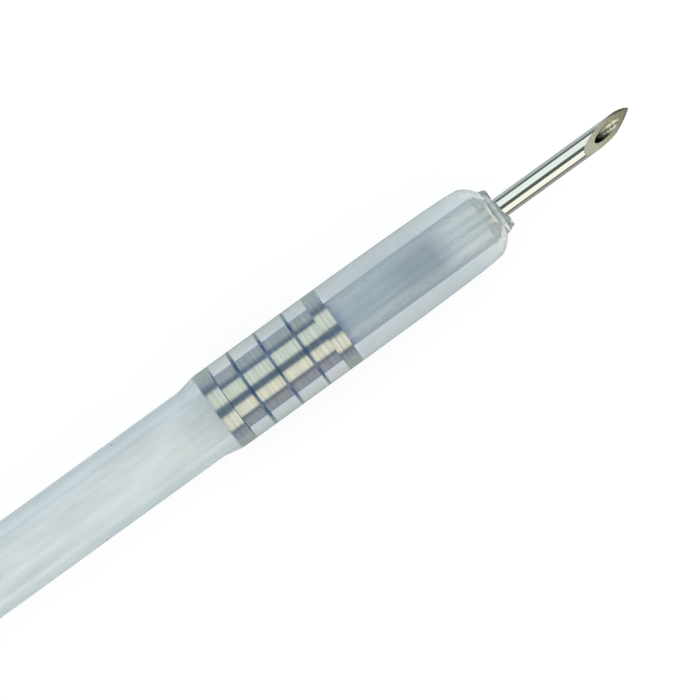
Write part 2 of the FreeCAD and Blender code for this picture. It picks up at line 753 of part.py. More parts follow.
# The tie: a strip wrapped once round all the turns, on the side away from the handle's axis.
def make_coil_tie():
    body = new_body("coil_tie", COIL_ALONG, "tie_thick", COIL_ACROSS)
    body.Placement = Placement(body.Placement.Base, Rotation(Vector(0, 0, 1), 90))
    sketch = coil_section(body, "tie_outside", "tie_thick")
    doc.recompute()
    band = body.newObject("PartDesign::Revolution", "tie_turn")
    band.Profile = sketch
    band.ReferenceAxis = (sketch, ["V_Axis"])
    band.Midplane = True
    band.setExpression("Angle", bound("tie_angle"))
    doc.recompute()
    hole = coil_section(body, "tie_inside", "0")
    doc.recompute()
    cut = body.newObject("PartDesign::Groove", "tie_hole")
    cut.Profile = hole
    cut.ReferenceAxis = (hole, ["V_Axis"])
    cut.Angle = 360
    doc.recompute()
    return body


def route_tube(label, points, end_cut):
    """A plain tube of the sheath's size along straight runs joined by tangent arcs, each arc as large as
    its two runs allow, with what lies inside end_cut taken away."""
    edges, last = [], points[0]
    for here in range(1, len(points) - 1):
        back, ahead = points[here - 1] - points[here], points[here + 1] - points[here]
        run = min(back.Length, ahead.Length)
        back.normalize()
        ahead.normalize()
        half_turn = (math.pi - back.getAngle(ahead)) / 2
        radius = ARC_SHARE * run / math.tan(half_turn)
        start, end = points[here] + back * ARC_SHARE * run, points[here] + ahead * ARC_SHARE * run
        middle = points[here] + (back + ahead).normalize() * (radius / math.cos(half_turn) - radius)
        edges.append(Part.LineSegment(last, start).toShape())
        edges.append(Part.Arc(start, middle, end).toShape())
        last = end
        print(f"{label} arc {here} radius {radius:.1f} mm")
    edges.append(Part.LineSegment(last, points[-1]).toShape())
    path = Part.Wire(edges)
    rim = Part.makeCircle(size("sheath_outer") / 2, points[0], points[1] - points[0])
    solid = path.makePipe(Part.Face(Part.Wire([rim])))
    section = math.pi * size("sheath_outer") ** 2 / 4
    print(f"{label} volume {solid.Volume:.2f}, section times length {section * path.Length:.2f} mm3")
    piece = doc.addObject("Part::Feature", label)
    piece.Label = label
    piece.Shape = solid.cut(end_cut)
    return piece


# The loose stretches of the sheath. Their points were chosen by hand, from the strain relief's mouth to the
# coil's top row, and from its bottom row to the back of the formed tip.
def make_sheath_runs(coil):
    mouth, tall = size(RELIEF_MOUTH), size(HANDLE_HEIGHT)
    rise, low = size(TIP_HEIGHT), size("tie_thick + sheath_outer / 2")
    top = low + size(f"2 * {HALF_STACK}")
    back = [
        Vector(mouth, 0, tall),
        Vector(mouth + 9, 0, tall),
        Vector(mouth + 20, 1.3, top - 0.1),
        Vector(mouth + 29, 4.2, top - 0.7),
    ]
    front = [
        Vector(mouth + 14, 6.2, low + 0.8),
        Vector(mouth + 25, 0, low),
        Vector(mouth + 36, 0, rise),
        Vector(mouth + size("tip_place"), 0, rise),
    ]
    return [route_tube("sheath_run", back, coil.Shape), route_tube("sheath_front_run", front, coil.Shape)]


pieces = [
    make_barrel(), make_rear_cap(), make_click_ring(), make_nose_cap(), make_sheath_ferrule(),
    make_sheath_root(), make_strain_relief(), make_plunger(), make_plunger_ring(), make_stop_pin(),
    make_thumb_grip(), make_inlet(), make_guide_tube(), make_inner_rear(), make_sheath_tip(),
    make_stop_bush(), make_needle(), make_ferrule(), make_inner_front(), make_coil_tie(),
]
coil = make_sheath_coil()
doc.recompute()
pieces += [coil, *make_sheath_runs(coil)]
doc.recompute()

for item in doc.Objects:
    if "Invalid" in item.State or "Error" in item.State:
        raise RuntimeError(f"{item.Label} failed: {item.State}")
for piece in pieces:
    if piece.Shape.isNull() or not piece.Shape.isValid():
        raise RuntimeError(f"{piece.Label} has no valid shape")

os.makedirs("parts", exist_ok=True)
for piece in pieces:
    piece.Shape.exportStep(f"parts/{piece.Label}.step")
    print(f"{piece.Label}: {piece.Shape.Volume:.3f} mm3, {len(piece.Shape.Solids)} solid")
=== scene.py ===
import math

import bmesh
import bpy
import numpy as np
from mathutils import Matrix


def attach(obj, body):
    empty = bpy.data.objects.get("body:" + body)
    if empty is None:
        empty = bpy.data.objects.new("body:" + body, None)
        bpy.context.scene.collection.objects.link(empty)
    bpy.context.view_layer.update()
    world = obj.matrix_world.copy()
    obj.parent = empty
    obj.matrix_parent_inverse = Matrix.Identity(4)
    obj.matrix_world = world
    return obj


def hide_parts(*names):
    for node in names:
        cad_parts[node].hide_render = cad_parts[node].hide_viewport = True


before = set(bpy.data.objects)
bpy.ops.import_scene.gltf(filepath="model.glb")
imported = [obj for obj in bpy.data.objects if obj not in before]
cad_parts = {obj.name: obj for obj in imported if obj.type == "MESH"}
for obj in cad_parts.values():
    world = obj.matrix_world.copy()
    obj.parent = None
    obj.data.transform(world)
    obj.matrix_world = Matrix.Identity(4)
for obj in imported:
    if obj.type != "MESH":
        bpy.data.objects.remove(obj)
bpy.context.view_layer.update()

# The whole device, from the syringe inlet on its handle to the needle, is a disposable of moulded plastic,
# clear extruded tube and a little steel. It lies on a white table, and the camera looks straight down on
# the last 20 mm, where the needle comes out of the formed sheath tip.
MM = 0.001
TIP_RADIUS = 1.255
TIP_AXIS = TIP_RADIUS * MM
HANDLE_AXIS = 8.0 * MM
VIEW_WIDTH = 20.16 * MM
VIEW_CENTRE = (134.06 * MM, -0.783 * MM)
VIEW_TURN = -35.92
LENS = 150.0
WHITE = (1.0, 1.0, 1.0)

scene = bpy.context.scene
scene.view_settings.view_transform = "Standard"


def placed(name, data):
    """A new object in the scene that shows that data."""
    item = bpy.data.objects.new(name, data)
    scene.collection.objects.link(item)
    return item


camera_data = bpy.data.cameras.new("camera")
camera_data.lens = LENS
camera_data.clip_start = 2 * MM
camera_height = TIP_AXIS + VIEW_WIDTH * LENS / camera_data.sensor_width
camera = placed("camera", camera_data)
camera.location = (*VIEW_CENTRE, camera_height)
camera.rotation_euler = (0, 0, math.radians(VIEW_TURN))
scene.camera = camera

LAMP_ALONG = 0.1
LAMP_REACH = 0.5
LAMP_LENGTH = 1.7


def softbox(name, side, angle, width, power, colour):
    """A long lamp over the needle's line, on its +Y side (1) or the other (-1), which looks down at it from
    that angle off the vertical."""
    lamp = bpy.data.lights.new(name, "AREA")
    lamp.shape = "RECTANGLE"
    lamp.size = LAMP_LENGTH
    lamp.size_y = width
    lamp.energy = power
    lamp.color = colour
    turn = math.radians(angle)
    box = placed(name, lamp)
    box.location = (LAMP_ALONG, side * LAMP_REACH * math.sin(turn), LAMP_REACH * math.cos(turn))
    box.rotation_euler = (-side * turn, 0, 0)
    box.visible_camera = False


softbox("cool_box", 1, 38.2, 0.6, 2.96, (0.85, 0.94, 0.90))
softbox("warm_box", -1, 55.5, 0.54, 2.78, (1.0, 0.985, 0.87))


def blend_of(nodes, links, share, low, high):
    """A colour between two others, each a colour or another node's output."""
    mix = nodes.new("ShaderNodeMix")
    mix.data_type = "RGBA"
    links.new(share, mix.inputs["Factor"])
    for socket, colour in (("A", low), ("B", high)):
        if isinstance(colour, tuple):
            mix.inputs[socket].default_value = (*colour, 1)
        else:
            links.new(colour, mix.inputs[socket])
    return mix.outputs["Result"]


def worked_out(nodes, links, kind, first, second):
    """One Math node of that kind on an output and a number or another output."""
    node = nodes.new("ShaderNodeMath")
    node.operation = kind
    links.new(first, node.inputs[0])
    if isinstance(second, float):
        node.inputs[1].default_value = second
    else:
        links.new(second, node.inputs[1])
    return node.outputs[0]


def places_of(nodes, links):
    """The place on a piece as outputs "X", "Y" and "Z", in metres."""
    where = nodes.new("ShaderNodeTexCoord")
    axes = nodes.new("ShaderNodeSeparateXYZ")
    links.new(where.outputs["Object"], axes.inputs[0])
    return axes.outputs


def mixed(nodes, links, share, first, second):
    """The first shader with that share of the second in it."""
    mix = nodes.new("ShaderNodeMixShader")
    links.new(share, mix.inputs["Fac"])
    links.new(first.outputs[0], mix.inputs[1])
    links.new(second.outputs[0], mix.inputs[2])
    return mix


def ways_of_seeing(nodes, links):
    """Shares for three kinds of ray: seen straight or only through clear plastic, seen in a mirror of metal
    or plastic, and seen by scattered light."""
    path = nodes.new("ShaderNodeLightPath")
    mirrored = worked_out(nodes, links, "GREATER_THAN", path.outputs["Glossy Depth"], 0.5)
    unmirrored = worked_out(nodes, links, "LESS_THAN", path.outputs["Glossy Depth"], 0.5)
    through = worked_out(nodes, links, "MULTIPLY", path.outputs["Is Transmission Ray"], unmirrored)
    sight = worked_out(nodes, links, "MAXIMUM", path.outputs["Is Camera Ray"], through)
    return sight, mirrored, path.outputs["Is Diffuse Ray"]


world = bpy.data.worlds.new("studio")
world.use_nodes = True
world.cycles.sampling_method = "NONE"
scene.world = world
nodes, links = world.node_tree.nodes, world.node_tree.links
sight, _, scattered = ways_of_seeing(nodes, links)
room = blend_of(nodes, links, scattered, (0.11, 0.125, 0.11), (0.42, 0.42, 0.42))
links.new(blend_of(nodes, links, sight, room, WHITE), nodes["Background"].inputs["Color"])

# Seen straight on, the table is white and keeps the device's soft shadow. In mirrors of metal it glows with a
# painted reflection instead: grey, near the needle's line lighter than away from it, and a little warmer on
# the side of the warm lamp, painted light and shade that stand in for the lit floor.
FLOOR_HALF = 4.0
FLOOR_DROP = 0.02 * MM
FLOOR_NEAR = 3 * MM
FLOOR_AWAY = 14 * MM
floor_mesh = bpy.data.meshes.new("floor")
floor_corners = [(FLOOR_HALF * x, FLOOR_HALF * y, 0) for x, y in ((-1, -1), (1, -1), (1, 1), (-1, 1))]
floor_mesh.from_pydata(floor_corners, [], [(0, 1, 2, 3)])
floor = placed("floor", floor_mesh)
floor.location.z = -FLOOR_DROP
table = bpy.data.materials.new("table")
table.use_nodes = True
nodes, links = table.node_tree.nodes, table.node_tree.links
nodes.remove(nodes["Principled BSDF"])
sight, mirrored, _ = ways_of_seeing(nodes, links)
across = places_of(nodes, links)["Y"]
away = nodes.new("ShaderNodeMapRange")
away.interpolation_type = "SMOOTHSTEP"
away.inputs["From Min"].default_value = FLOOR_NEAR
away.inputs["From Max"].default_value = FLOOR_AWAY
links.new(worked_out(nodes, links, "ABSOLUTE", across, 0.0), away.inputs["Value"])
cool_side = worked_out(nodes, links, "GREATER_THAN", across, 0.0)
# Painted reflection: the glow that mirror rays see, lighter near the needle's line and warmer on the warm
# lamp's side.
near = blend_of(nodes, links, cool_side, (0.38, 0.37, 0.35), (0.47, 0.52, 0.54))
far = blend_of(nodes, links, cool_side, (0.13, 0.11, 0.07), (0.26, 0.31, 0.33))
lit = nodes.new("ShaderNodeBsdfDiffuse")
lit.inputs["Color"].default_value = (0.84, 0.86, 0.87, 1)
painted_mirror_glow = nodes.new("ShaderNodeEmission")
links.new(blend_of(nodes, links, away.outputs["Result"], near, far), painted_mirror_glow.inputs["Color"])
white = nodes.new("ShaderNodeEmission")
white.inputs["Strength"].default_value = 1.08
unseen = mixed(nodes, links, mirrored, lit, painted_mirror_glow)
both = mixed(nodes, links, worked_out(nodes, links, "MULTIPLY", sight, 0.8), unseen, white)
links.new(both.outputs[0], nodes["Material Output"].inputs["Surface"])
floor_mesh.materials.append(table)

# The sheath is one clear extruded tube 2.27 mm across. It leaves the strain relief, is wound for storage
# in four layers of four turns, and runs on to its own formed tip. It is the device's only cord.
SHEATH_RADIUS = 1.135
SHEATH_OUTER = 2 * SHEATH_RADIUS * MM
PLASTIC_IOR = 1.355
MOUTH = 58.0
COIL_ALONG = MOUTH + 28.0
COIL_ROWS = 4
COIL_RADIUS = 14.7
COIL_PITCH = 2.3
COIL_LOW = 1.385
TURN_POINTS = 14


def coil_slots():
    """The places (column, row) of the turns in the order they are wound, back and forth from the top."""
    slots = []
    for layer in range(COIL_ROWS):
        columns = range(COIL_ROWS) if layer % 2 else reversed(range(COIL_ROWS))
        slots += [(column, COIL_ROWS - 1 - layer) for column in columns]
    return slots + [(COIL_ROWS, 0)]


def coil_points():
    """Points round each turn, counted from the side next to the handle's line. In the last quarter of a
    turn the line eases over to the next place. The points lie a little outside the line they lead."""
    outside = 0.75 + 0.25 * math.cos(2 * math.pi / TURN_POINTS)
    across = COIL_RADIUS + (COIL_ROWS - 1) / 2 * COIL_PITCH + COIL_PITCH
    slots = coil_slots()
    points = []
    for here, ahead in zip(slots[:-1], slots[1:]):
        for step in range(TURN_POINTS):
            share = min(max(step / TURN_POINTS * 4 - 3, 0), 1)
            ease = share * share * (3 - 2 * share)
            column = here[0] + (ahead[0] - here[0]) * ease
            row = here[1] + (ahead[1] - here[1]) * ease
            radius = (COIL_RADIUS + (column - (COIL_ROWS - 1) / 2) * COIL_PITCH) / outside
            turn = math.radians(-90) + 2 * math.pi * step / TURN_POINTS
            points.append((COIL_ALONG + radius * math.cos(turn), across + radius * math.sin(turn),
                           COIL_LOW + row * COIL_PITCH))
    return points


SHEATH_ROUTE = [
    (MOUTH, 0, 8.0),
    (MOUTH + 9, 0, 8.0),
    (MOUTH + 20, 1.3, 8.185),
    *coil_points(),
    (MOUTH + 28, 0, COIL_LOW),
    (MOUTH + 36, 0, TIP_RADIUS),
    (MOUTH + 46, 0, TIP_RADIUS),
]


def route_line(name, points, radius):
    """One smooth spline led by the points, with a round section."""
    line = bpy.data.curves.new(name, "CURVE")
    line.dimensions = "3D"
    line.bevel_depth = radius
    line.bevel_resolution = 6
    line.resolution_u = 5
    spline = line.splines.new("NURBS")
    spline.points.add(len(points) - 1)
    for spot, point in zip(spline.points, points):
        spot.co = (point[0] * MM, point[1] * MM, point[2] * MM, 1)
    spline.use_endpoint_u = True
    spline.order_u = 3
    return placed(name, line)


def finish(name, colour, roughness):
    """A named material and its shader, with a plain colour and roughness to start from."""
    material = bpy.data.materials.new(name)
    material.use_nodes = True
    shader = material.node_tree.nodes["Principled BSDF"]
    shader.inputs["Base Color"].default_value = (*colour, 1)
    shader.inputs["Roughness"].default_value = roughness
    return material, shader


def spread_of(nodes, links, value, low, high, floor, ceiling):
    """A value between low and high carried over to the range from floor to ceiling."""
    node = nodes.new("ShaderNodeMapRange")
    for socket, number in (("From Min", low), ("From Max", high), ("To Min", floor), ("To Max", ceiling)):
        node.inputs[socket].default_value = number
    links.new(value, node.inputs["Value"])
    return node.outputs["Result"]


def stretched_noise(nodes, links, scale, detail=3.0):
    """Noise on Object coordinates with its own scale, per metre, along X, Y and Z."""
    where = nodes.new("ShaderNodeTexCoord")
    stretch = nodes.new("ShaderNodeMapping")
    stretch.inputs["Scale"].default_value = scale
    noise = nodes.new("ShaderNodeTexNoise")
    noise.inputs["Scale"].default_value = 1.0
    noise.inputs["Detail"].default_value = detail
    links.new(where.outputs["Object"], stretch.inputs["Vector"])
    links.new(stretch.outputs["Vector"], noise.inputs["Vector"])
    return noise.outputs["Fac"]


def marks_along(nodes, links, marks):
    """Colour and share along X from marks (place in mm, colour, share), as a colour and an alpha output."""
    along = places_of(nodes, links)["X"]
    first, last = marks[0][0], marks[-1][0]
    span = max(last - first, 1.0)
    ramp = nodes.new("ShaderNodeValToRGB")
    place = spread_of(nodes, links, along, first * MM, (first + span) * MM, 0.0, 1.0)
    links.new(place, ramp.inputs["Fac"])
    stops = ramp.color_ramp.elements
    while len(stops) < len(marks):
        stops.new(0.5)
    while len(stops) > len(marks):
        stops.remove(stops[-1])
    for stop, (spot, colour, share) in zip(stops, marks):
        stop.position = (spot - first) / span
        stop.color = (*colour, share)
    return ramp.outputs["Color"], ramp.outputs["Alpha"]


def clear_plastic(name, roughness, haze, sides, clear=(0.98, 0.97, 0.91), specks=()):
    """Clear plastic with haze. It passes light with a faint warm tint and bends it little, and a share of
    haze scatters light back. haze gives its colour and share along X where the surface faces the eye, and
    sides gives them where it turns away and more plastic lies behind it. Lengthwise streaks from the
    drawing die and soft clouds vary the share. specks lists the places and radii in mm of dust on it."""
    material, shader = finish(name, clear, roughness)
    nodes, links = material.node_tree.nodes, material.node_tree.links
    shader.inputs["Transmission Weight"].default_value = 1.0
    shader.inputs["IOR"].default_value = PLASTIC_IOR
    facing = nodes.new("ShaderNodeLayerWeight")
    facing.inputs["Blend"].default_value = 0.5
    side = spread_of(nodes, links, facing.outputs["Facing"], 0.2, 0.45, 0.0, 1.0)
    front_colour, front_share = marks_along(nodes, links, haze)
    side_colour, side_share = marks_along(nodes, links, sides)
    milk = nodes.new("ShaderNodeBsdfPrincipled")
    colour = blend_of(nodes, links, side, front_colour, side_colour)
    milk.inputs["Roughness"].default_value = 0.6
    milk.inputs["IOR"].default_value = PLASTIC_IOR
    streaks = stretched_noise(nodes, links, (90, 4200, 4200))
    streaks = spread_of(nodes, links, streaks, 0.25, 0.75, 0.85, 1.15)
    clouds = stretched_noise(nodes, links, (420, 1500, 1500))
    clouds = spread_of(nodes, links, clouds, 0.25, 0.75, 0.82, 1.18)
    share = blend_of(nodes, links, side, front_share, side_share)
    share = worked_out(nodes, links, "MULTIPLY", share, worked_out(nodes, links, "MULTIPLY", streaks, clouds))
    for spot, radius in specks:
        where = nodes.new("ShaderNodeTexCoord")
        away = nodes.new("ShaderNodeVectorMath")
        away.operation = "DISTANCE"
        links.new(where.outputs["Object"], away.inputs[0])
        away.inputs[1].default_value = tuple(part * MM for part in spot)
        speck = spread_of(nodes, links, away.outputs["Value"], 0.5 * radius * MM, radius * MM, 1.0, 0.0)
        colour = blend_of(nodes, links, speck, colour, (0.16, 0.17, 0.17))
        share = worked_out(nodes, links, "MAXIMUM", share, speck)
    links.new(colour, milk.inputs["Base Color"])
    cloudy = mixed(nodes, links, share, shader, milk)
    links.new(cloudy.outputs[0], nodes["Material Output"].inputs["Surface"])
    return material


MILKY = (0.72, 0.82, 0.89)
MILKY_SIDE = (0.62, 0.74, 0.83)
sheath_line = route_line("sheath_line", SHEATH_ROUTE, SHEATH_OUTER / 2)
line_plastic = clear_plastic("sheath_plastic", 0.12, [(0, MILKY, 0.55)], [(0, MILKY_SIDE, 0.6)],
                             (0.98, 0.97, 0.94))
sheath_line.data.materials.append(line_plastic)
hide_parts("sheath_run", "sheath_coil", "sheath_front_run")
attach(sheath_line, "handle")

# The sheath tip is the sheath's own front end, swollen by heat over the bush, pressed down into the bush's
# grooves and drawn in at its nose to a short lip round the needle. Its wall is clear, a little hazy.
TIP_BACK = 104.0
TIP_END = 140.0
BUSH_BACK = 129.92
BUSH_LENGTH = 4.3
BUSH_FRONT = BUSH_BACK + BUSH_LENGTH
FLANGE_WIDTH = 0.485
FLANGE_RADIUS = 0.925
LAND_RADIUS = 0.665
RIDGE_WIDTH = 0.08
RIDGE_PITCH = 0.957
HOLE_RADIUS = 0.351
TIP_BORE = 0.555
AROUND = 160
TURNS = np.linspace(0, 2 * np.pi, AROUND, endpoint=False)


def turned_grid(along, radius):
    """A profile carried once round the X axis: at turn t each point (along, radius) goes to
    (along, radius cos t, radius sin t)."""
    along, radius = np.broadcast_arrays(np.asarray(along, float)[:, None], np.asarray(radius, float)[:, None])
    grid = np.empty((along.shape[0], AROUND, 3))
    grid[..., 0] = along
    grid[..., 1] = radius * np.cos(TURNS)
    grid[..., 2] = radius * np.sin(TURNS)
    return grid


def skin(name, grid, height, materials, finishes=None, sharp=35.0):
    """A closed surface through a grid of rings, in millimetres about the axis at that height. The last
    ring joins the first, rings of no size become poles, and all faces are turned outwards. finishes gives
    each ring's place in the list of materials."""
    rings, around = grid.shape[:2]
    spots = grid.reshape(-1, 3) * MM
    spots[:, 2] += height
    here = np.arange(rings * around).reshape(rings, around)
    ahead = np.roll(here, -1, axis=0)
    beside, corner = np.roll(here, -1, axis=1), np.roll(ahead, -1, axis=1)
    faces = np.stack([here, beside, corner, ahead], axis=-1).reshape(-1, 4)
    mesh = bpy.data.meshes.new(name)
    mesh.from_pydata(spots.tolist(), [], faces.tolist())
    for material in materials:
        mesh.materials.append(material)
    if finishes is not None:
        mesh.polygons.foreach_set("material_index", np.repeat(finishes, around).astype(np.int32))
    work = bmesh.new()
    work.from_mesh(mesh)
    bmesh.ops.remove_doubles(work, verts=work.verts, dist=0.0002 * MM)
    bmesh.ops.recalc_face_normals(work, faces=work.faces)
    work.to_mesh(mesh)
    work.free()
    mesh.shade_smooth()
    mesh.set_sharp_from_angle(angle=math.radians(sharp))
    return placed(name, mesh)


def rounded(corners, radius, step=0.01, ease=3.0):
    """A line through corners (along, radius) with each corner rounded by averaging the line over a window
    of about the rounding radius. Of the fine steps it keeps those where a stretch bends, one for each
    ease degrees of its turning, and the two ends of each straight stretch. With no ease it keeps all."""
    corners = np.asarray(corners, float)
    lengths = np.hypot(*np.diff(corners, axis=0).T)
    travel = np.concatenate([[0], np.cumsum(lengths)])
    count = max(int(travel[-1] / step), 8)
    at = np.linspace(0, travel[-1], count)
    line = np.stack([np.interp(at, travel, corners[:, 0]), np.interp(at, travel, corners[:, 1])], axis=1)
    window = max(int(radius / step), 1)
    padded = np.concatenate([
        2 * line[:1] - line[window:0:-1],
        line,
        2 * line[-1:] - line[-2:-window - 2:-1],
    ])
    kernel = np.hanning(2 * window + 3)[1:-1]
    kernel /= kernel.sum()
    line = np.stack([np.convolve(padded[:, i], kernel, "valid") for i in range(2)], axis=1)
    if not ease:
        return line
    heading = np.unwrap(np.arctan2(*np.diff(line, axis=0).T[::-1]))
    bend = np.degrees(abs(np.diff(heading)))
    sector = np.floor(np.cumsum(bend) / ease)
    curved = bend > ease / 200
    keep = np.ones(len(line), bool)
    keep[2:-1] = (np.diff(sector) > 0) | (np.diff(curved.astype(int)) != 0)
    return line[keep]


def bush_corners(inset):
    """The bush's outline from back to front: flange, lands parted by ridges, flange, set in by inset."""
    flange, land = FLANGE_RADIUS - inset, LAND_RADIUS - inset
    middle = BUSH_BACK + BUSH_LENGTH / 2
    corners = [(BUSH_BACK, flange), (BUSH_BACK + FLANGE_WIDTH, flange), (BUSH_BACK + FLANGE_WIDTH, land)]
    for place in (middle - RIDGE_PITCH, middle, middle + RIDGE_PITCH):
        back, ahead = place - RIDGE_WIDTH / 2, place + RIDGE_WIDTH / 2
        corners += [(back, land), (back, flange), (ahead, flange), (ahead, land)]
    corners += [(BUSH_FRONT - FLANGE_WIDTH, land), (BUSH_FRONT - FLANGE_WIDTH, flange), (BUSH_FRONT, flange)]
    return corners


body_line = rounded([
    (TIP_BACK, SHEATH_RADIUS),
    (BUSH_BACK - 0.55, SHEATH_RADIUS),
    (BUSH_BACK, TIP_RADIUS),
    (BUSH_FRONT, TIP_RADIUS),
    (TIP_END - 3.5, 1.245),
    (TIP_END - 2.09, 1.219),
    (TIP_END - 1.23, 1.192),
    (TIP_END - 0.78, 1.145),
], 0.2, 0.02, 1.0)
nose_line = rounded([
    (TIP_END - 0.78, 1.145),
    (TIP_END - 0.68, 1.10),
    (TIP_END - 0.59, 1.05),
    (TIP_END - 0.42, 0.893),
    (TIP_END - 0.30, 0.742),
    (TIP_END - 0.16, 0.716),
    (TIP_END - 0.10, 0.655),
    (TIP_END, 0.56),
], 0.03, 0.01)
lip_line = rounded([
    (TIP_END, 0.56),
    (TIP_END, HOLE_RADIUS + 0.03),
    (TIP_END - 0.03, HOLE_RADIUS),
], 0.01, 0.005)
hole_line = np.array([(TIP_END - along, HOLE_RADIUS) for along in (0.03, 0.1, 0.2, 0.4, 0.54)])
bore_line = rounded([
    (TIP_END - 0.54, HOLE_RADIUS),
    (TIP_END - 0.56, HOLE_RADIUS),
    (TIP_END - 0.78, TIP_BORE),
    (BUSH_FRONT, TIP_BORE),
], 0.03, 0.01)
# The wall and the bush's metal share CONTACT, so that no thin film of air lies between them.
CONTACT = 0.005
groove_line = np.array(bush_corners(CONTACT)[::-1])
back_line = np.array([(BUSH_BACK, TIP_BORE), (TIP_BACK, TIP_BORE)])
tip_lines = [body_line, nose_line[1:], lip_line[1:], hole_line[1:], bore_line[1:], groove_line, back_line]
tip_profile = np.concatenate(tip_lines)
tip_finishes = np.repeat([0, 0, 2, 2, 1, 0, 1], [len(line) for line in tip_lines])
PALE = (0.83, 0.90, 0.98)
BLUE = (0.05, 0.26, 0.80)
SLATE = (0.34, 0.49, 0.66)
BUSH_SIDE = (0.35, 0.46, 0.51)
# The haze changes sharply at the bush. A colour ramp has only 256 steps, so its marks start close behind it.
HAZE_START = BUSH_BACK - 3
tip_haze = [
    (HAZE_START, PALE, 0.62),
    (BUSH_BACK - 0.9, PALE, 0.62),
    (BUSH_BACK, (0.70, 0.79, 0.85), 0.55),
    (BUSH_BACK + 0.05, BLUE, 0.16),
    (BUSH_FRONT, BLUE, 0.16),
    (BUSH_FRONT + 0.3, SLATE, 0.32),
    (TIP_END - 2.6, SLATE, 0.34),
    (TIP_END - 1.5, (0.50, 0.64, 0.80), 0.3),
    (TIP_END - 0.7, (0.55, 0.68, 0.82), 0.3),
    (TIP_END - 0.6, (0.66, 0.78, 0.90), 0.2),
    (TIP_END - 0.1, (0.90, 0.95, 1.0), 0.5),
]
tip_sides = [
    (HAZE_START, MILKY_SIDE, 0.6),
    (BUSH_BACK, MILKY_SIDE, 0.55),
    (BUSH_BACK + 0.05, BUSH_SIDE, 0.5),
    (BUSH_FRONT, BUSH_SIDE, 0.5),
    (BUSH_FRONT + 0.3, (0.38, 0.50, 0.60), 0.44),
    (TIP_END - 1.5, (0.45, 0.57, 0.66), 0.5),
    (TIP_END - 0.7, (0.60, 0.72, 0.82), 0.4),
    (TIP_END - 0.55, (0.72, 0.82, 0.90), 0.2),
    (TIP_END - 0.1, (0.80, 0.88, 0.94), 0.3),
]
# From 3.3 to 2.4 mm behind the end the bore's haze turns dark grey: painted shade.
bore_haze_and_painted_shade = [
    (HAZE_START, WHITE, 0.3),
    (BUSH_BACK - 1.1, WHITE, 0.3),
    (BUSH_BACK - 0.4, (0.72, 0.77, 0.80), 0.5),
    (BUSH_BACK, (0.66, 0.70, 0.72), 0.5),
    (BUSH_FRONT, (0.66, 0.73, 0.79), 0.6),
    (TIP_END - 4.2, (0.62, 0.69, 0.76), 0.6),
    (TIP_END - 3.3, (0.42, 0.45, 0.50), 0.68),
    (TIP_END - 2.4, (0.39, 0.41, 0.46), 0.7),
    (TIP_END - 1.7, (0.88, 0.94, 0.99), 0.5),
    (TIP_END - 0.6, (0.86, 0.92, 0.97), 0.3),
]
DUST = [((122.61, 0.46, 2.293), 0.055), ((126.93, 1.018, 1.757), 0.045), ((125.23, -1.114, 1.472), 0.075)]
tip_plastic = clear_plastic("tip_plastic", 0.04, tip_haze, tip_sides, (0.98, 0.975, 0.92), DUST)
bore_plastic = clear_plastic("bore_plastic", 0.5, bore_haze_and_painted_shade, [(0, SLATE, 0.1)])
# The lip's marks are painted shade and light: a dark band of painted shade over the hole, and white bands of
# painted light at the hole's back end and at the lip's face.
LIP_SHADE = (0.12, 0.16, 0.22)
lip_haze_and_painted_light = [
    (TIP_END - 0.62, WHITE, 0.95),
    (TIP_END - 0.5, WHITE, 0.95),
    (TIP_END - 0.47, LIP_SHADE, 0.5),
    (TIP_END - 0.1, LIP_SHADE, 0.4),
    (TIP_END - 0.05, WHITE, 0.8),
]
lip_plastic = clear_plastic("lip_plastic", 0.06, lip_haze_and_painted_light, [(0, MILKY, 0.2)])
LIP_ROOT = 0.2
LIP_LEAN = 0.085
BURRS = ((0.15, 0.2), (3.0, 0.12), (4.6, 0.06))
BURR_SPREAD = 0.16


def ragged_lip(grid):
    """The lip as it was cut: its end leans back on the +Y side, wavers, and has burrs, each a bell-shaped
    bump with its turn and size. The change grows from nothing at LIP_ROOT behind the end to its full size
    at the end."""
    weight = np.clip((grid[..., 0] - TIP_END + LIP_ROOT) / LIP_ROOT, 0, 1)
    lean = -LIP_LEAN * (1 + np.cos(TURNS))
    waver = 0.016 * np.sin(5 * TURNS + 1) + 0.011 * np.sin(9 * TURNS + 2.2) + 0.006 * np.sin(17 * TURNS)
    burrs = sum(size * np.exp(-((TURNS - place) / BURR_SPREAD) ** 2) for place, size in BURRS)
    swell = 1 + weight ** 2 * (burrs * 0.9 + 0.02 * np.sin(7 * TURNS) + 0.012 * np.sin(13 * TURNS + 1))
    outside = np.hypot(grid[..., 1], grid[..., 2]) > HOLE_RADIUS + 0.04
    result = grid.copy()
    result[..., 0] += weight * (lean + waver + 0.3 * burrs)
    result[..., 1:] *= np.where(outside, swell, 1)[..., None]
    return result


tip_grid = ragged_lip(turned_grid(tip_profile[:, 0], tip_profile[:, 1]))
sheath_tip = skin("formed_tip", tip_grid, TIP_AXIS, [tip_plastic, bore_plastic, lip_plastic], tip_finishes)
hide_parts("sheath_tip")
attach(sheath_tip, "handle")

# The stop bush is a small spool turned from bar: two flanges, lands and three thin ridges that the sheath
# grips. Its hole guides the needle, and its back face stops the needle's collar.
bush_line = np.array(bush_corners(0.0))
bush_profile = np.concatenate([[(BUSH_BACK, HOLE_RADIUS)], bush_line, [(BUSH_FRONT, HOLE_RADIUS)]])


def raised(nodes, links, height, depth, under=None):
    """The normal of a surface raised by depth where height is 1, on top of the normal under it, if any."""
    bump = nodes.new("ShaderNodeBump")
    bump.inputs["Strength"].default_value = 1.0
    bump.inputs["Distance"].default_value = depth
    links.new(height, bump.inputs["Height"])
    if under:
        links.new(under, bump.inputs["Normal"])
    return bump.outputs["Normal"]


